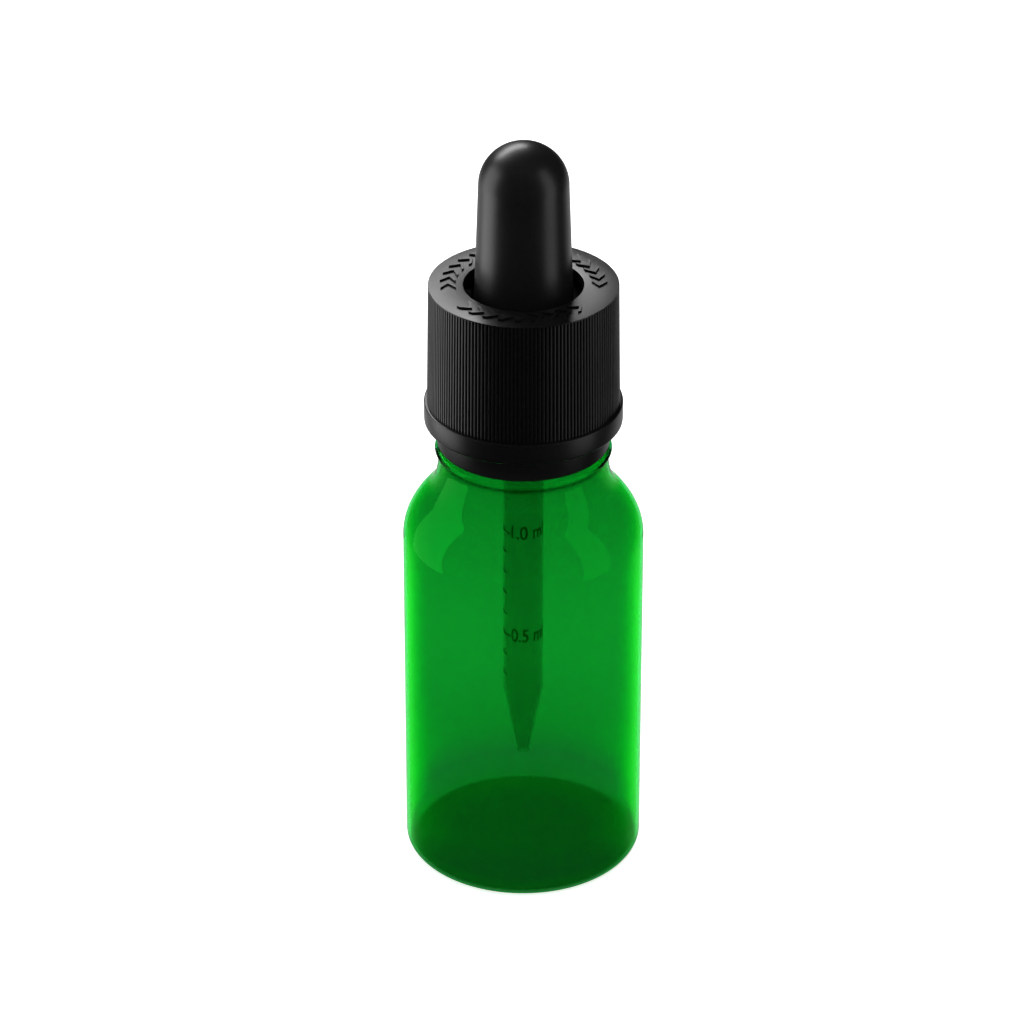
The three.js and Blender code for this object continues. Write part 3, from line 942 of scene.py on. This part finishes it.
def tick(span):
    """One printed line of the scale, bent round the tube, at height 0."""
    start, end = span
    half = TICK_HEIGHT / 2
    sections = []
    for i in range(ROUND_STEPS + 1):
        across = start + (end - start) * i / ROUND_STEPS
        corners = ((0, -half), (INK_THICKNESS, -half), (INK_THICKNESS, half), (0, half))
        sections.append([on_tube(across, out, z) for out, z in corners])
    return bar(sections)


def printed_number(text, middle_z):
    """A volume printed round the tube: letters as a mesh, cut into strips and bent on to the wall."""
    half_deep = 0.5
    curve = bpy.data.curves.new("number", "FONT")
    curve.body = text
    curve.extrude = half_deep
    curve.offset = NUMBER_BOLDNESS
    holder = bpy.data.objects.new("number_holder", curve)
    bpy.context.scene.collection.objects.link(holder)
    flat = bpy.data.meshes.new_from_object(holder.evaluated_get(bpy.context.evaluated_depsgraph_get()))
    bpy.data.objects.remove(holder)
    shape = bmesh.new()
    shape.from_mesh(flat)
    bmesh.ops.remove_doubles(shape, verts=shape.verts, dist=1e-5)
    xs, ys = [v.co.x for v in shape.verts], [v.co.y for v in shape.verts]
    left, right, low, high = min(xs), max(xs), min(ys), max(ys)
    for i in range(1, NUMBER_STRIPS):
        cut = left + (right - left) * i / NUMBER_STRIPS
        everything = [*shape.verts, *shape.edges, *shape.faces]
        bmesh.ops.bisect_plane(shape, geom=everything, plane_co=(cut, 0, 0), plane_no=(1, 0, 0))
    for vertex in shape.verts:
        along = NUMBER_WIDTH * (vertex.co.x - left) / (right - left)
        rise = NUMBER_HEIGHT * ((vertex.co.y - low) / (high - low) - 0.5)
        across = NUMBER_START + math.degrees(along / TUBE_R)
        vertex.co = on_tube(across, INK_THICKNESS * (vertex.co.z + half_deep), middle_z + rise)
    bmesh.ops.recalc_face_normals(shape, faces=shape.faces)
    return plain_mesh(shape)


def printed_scale(ink):
    """The pipette's scale: short ticks all the way, and a longer tick and a volume at every fifth."""
    def lifted(shape, z):
        bmesh.ops.translate(shape, verts=shape.verts, vec=(0, 0, z * MM))
        return shape

    lowest = SCALE_TOP_Z - SCALE_STEP * (SCALE_MARKS - 1)
    numbered = [SCALE_TOP_Z, SCALE_TOP_Z - SCALE_STEP * MARKS_PER_NUMBER]
    meshes = [
        repeated(lifted(tick(SHORT_TICK), lowest), ink, SCALE_MARKS, rise_step=SCALE_STEP),
        repeated(lifted(tick(LONG_TICK), numbered[1]), ink, 2, rise_step=numbered[0] - numbered[1]),
        printed_number("1.0 ml", numbered[0] + NUMBER_RISE),
        printed_number("0.5 ml", numbered[1] + NUMBER_RISE),
    ]
    return finished_piece("printed_scale", meshes, ink, "dropper")


# Studio, with lengths in metres

AMBIENT = 0.35
SEEN_FLOOR = 0.8
NEAR_FLOOR = 0.15
FAR_FLOOR = 0.68
LIGHT_THROUGH_GLASS = 0.9
ROOM_FRONT = 0.02
ROOM_BACK = 0.6
FLOOR_SIZE = 6.0
FLOOR_GAP = 0.0001


def flat_sheet(name, width, height, material):
    """A flat rectangle of the stage, facing up until it is turned."""
    corners = [(x * width / 2, y * height / 2, 0) for x, y in ((-1, -1), (1, -1), (1, 1), (-1, 1))]
    mesh = bpy.data.meshes.new(name)
    mesh.from_pydata(corners, [], [range(4)])
    mesh.materials.append(material)
    sheet = bpy.data.objects.new(name, mesh)
    bpy.context.scene.collection.objects.link(sheet)
    return sheet


def studio_floor():
    """A plain pale floor that shades under the bottle and reads as white to the camera.
    Seen through glass it keeps its shade close by and meets the white backdrop further off."""
    material, tree = new_material("pale_floor")
    rays = add_node(tree, "ShaderNodeLightPath").outputs
    where = add_node(tree, "ShaderNodeTexCoord").outputs["Object"]
    away = add_node(tree, "ShaderNodeVectorMath", {0: where}, operation="LENGTH").outputs["Value"]
    refracted = add_node(tree, "ShaderNodeMapRange", {
        "Value": away, "From Min": 0.1, "From Max": 0.6, "To Min": NEAR_FLOOR, "To Max": FAR_FLOOR,
    })
    in_glass = add_node(tree, "ShaderNodeMath", {
        0: rays["Is Transmission Ray"], 1: refracted.outputs["Result"],
    }, operation="MULTIPLY")
    lift = add_node(tree, "ShaderNodeMath", {
        0: rays["Is Camera Ray"], 1: SEEN_FLOOR, 2: in_glass.outputs["Value"],
    }, operation="MULTIPLY_ADD")
    matt = add_node(tree, "ShaderNodeBsdfDiffuse", {"Color": linear("#e6e6e6")})
    glow = add_node(tree, "ShaderNodeEmission", {
        "Color": linear("#ffffff"), "Strength": lift.outputs["Value"],
    })
    both = add_node(tree, "ShaderNodeAddShader", {0: matt.outputs["BSDF"], 1: glow.outputs["Emission"]})
    add_node(tree, "ShaderNodeOutputMaterial", {"Surface": both.outputs["Shader"]})
    floor = flat_sheet("floor", FLOOR_SIZE, FLOOR_SIZE, material)
    floor.location.z = -FLOOR_GAP
    floor.visible_glossy = False


def studio_world():
    """White to the eye all round. In reflections it is nearly dark, as a room behind a camera is, with a
    brighter part low at the back. As light it is dim and even."""
    world = bpy.data.worlds.new("studio")
    bpy.context.scene.world = world
    world.use_nodes = True
    tree = world.node_tree
    tree.nodes.clear()
    rays = add_node(tree, "ShaderNodeLightPath").outputs
    facing = add_node(tree, "ShaderNodeTexCoord").outputs["Generated"]
    towards = add_node(tree, "ShaderNodeSeparateXYZ", {"Vector": facing}).outputs
    back = add_node(tree, "ShaderNodeMapRange", {
        "Value": towards["Y"], "From Min": 0.3, "From Max": 0.8,
    }, interpolation_type="SMOOTHSTEP")
    low = add_node(tree, "ShaderNodeMapRange", {
        "Value": towards["Z"], "From Min": -0.1, "From Max": -0.35,
    }, interpolation_type="SMOOTHSTEP")
    low_back = add_node(tree, "ShaderNodeMath", {
        0: back.outputs["Result"], 1: low.outputs["Result"],
    }, operation="MULTIPLY")
    room = add_node(tree, "ShaderNodeMapRange", {
        "Value": low_back.outputs["Value"], "To Min": ROOM_FRONT, "To Max": ROOM_BACK,
    })
    level = add_node(tree, "ShaderNodeMix", {
        "Factor": rays["Is Glossy Ray"], "A": AMBIENT, "B": room.outputs["Result"],
    })
    share = add_node(tree, "ShaderNodeMapRange", {
        "Value": rays["Diffuse Depth"], "To Min": 1.0, "To Max": LIGHT_THROUGH_GLASS,
    })
    in_glass = add_node(tree, "ShaderNodeMath", {
        0: rays["Is Transmission Ray"], 1: share.outputs["Result"],
    }, operation="MULTIPLY")
    through = add_node(tree, "ShaderNodeMath", {
        0: rays["Is Camera Ray"], 1: in_glass.outputs["Value"],
    }, operation="MAXIMUM")
    strength = add_node(tree, "ShaderNodeMath", {
        0: level.outputs["Result"], 1: through.outputs["Value"],
    }, operation="MAXIMUM")
    sky = add_node(tree, "ShaderNodeBackground", {
        "Color": linear("#ffffff"), "Strength": strength.outputs["Value"],
    })
    add_node(tree, "ShaderNodeOutputWorld", {"Surface": sky.outputs["Background"]})


def softbox(name, place, aim, width, height, power, hidden):
    """A soft rectangular lamp, unseen by the camera and by the kinds of rays named as hidden."""
    light = bpy.data.lights.new(name, "AREA")
    light.shape = "RECTANGLE"
    light.size, light.size_y = width, height
    light.energy = power
    lamp = bpy.data.objects.new(name, light)
    lamp.location = place
    lamp.rotation_euler = (Vector(aim) - Vector(place)).to_track_quat("-Z", "Y").to_euler()
    for rays in ("camera", *hidden):
        setattr(lamp, f"visible_{rays}", False)
    bpy.context.scene.collection.objects.link(lamp)


def light_card(name, place, aim, width, height, strength):
    """A lit white card that gloss and glass mirror. It isn't seen by the camera or through the glass."""
    material, tree = new_material(name)
    rays = add_node(tree, "ShaderNodeLightPath").outputs
    glow = add_node(tree, "ShaderNodeEmission", {"Color": linear("#ffffff"), "Strength": strength})
    clear = add_node(tree, "ShaderNodeBsdfTransparent")
    lit = add_node(tree, "ShaderNodeMixShader", {
        0: rays["Is Transmission Ray"], 1: glow.outputs["Emission"], 2: clear.outputs["BSDF"],
    })
    add_node(tree, "ShaderNodeOutputMaterial", {"Surface": lit.outputs["Shader"]})
    card = flat_sheet(name, width, height, material)
    card.location = place
    card.rotation_euler = (Vector(aim) - Vector(place)).to_track_quat("Z", "Y").to_euler()
    for rays in ("camera", "diffuse", "shadow"):
        setattr(card, f"visible_{rays}", False)


def studio_camera():
    """The camera fitted to the photograph's outlines, 0.6 m away and 29.5 degrees above the horizon."""
    data = bpy.data.cameras.new("camera")
    data.sensor_width = 36
    data.lens = 170.98
    camera = bpy.data.objects.new("camera", data)
    camera.location = (-0.001349, -0.502164, 0.329622)
    camera.rotation_euler = (math.radians(60.5), 0, 0)
    bpy.context.scene.collection.objects.link(camera)
    bpy.context.scene.camera = camera


studio_camera()
studio_world()
studio_floor()
softbox(
    "key_lamp", place=(0, -0.3, 0.8), aim=(0, 0, 0.04), width=0.5, height=0.5,
    power=5.2, hidden=["glossy", "transmission"],
)
softbox(
    "back_lamp", place=(-0.26, 0.61, 0.56), aim=(0, 0, 0.09), width=0.62, height=0.2,
    power=4.2, hidden=["transmission"],
)
light_card(
    "left_card", place=(-0.1, 0.014, 0.076), aim=(0, 0.014, 0.076), width=0.08, height=0.15, strength=2.25,
)
light_card("right_card", place=(0.092, -0.039, 0.1), aim=(0, 0, 0.1), width=0.05, height=0.19, strength=1.0)
bpy.context.scene.view_settings.view_transform = "Standard"

REPEAT = repeat_tree()
INNER_PLASTIC = plain_polypropylene()
glass_bottle(green_container_glass())
tamper_band(polished_polypropylene())
threaded_inner_cap(INNER_PLASTIC)
spring_fingers(INNER_PLASTIC)
push_and_turn_cap(etched_polypropylene())
squeeze_bulb(satin_rubber())
dropper_tube(drawn_tube_glass())
printed_scale(fired_ink())
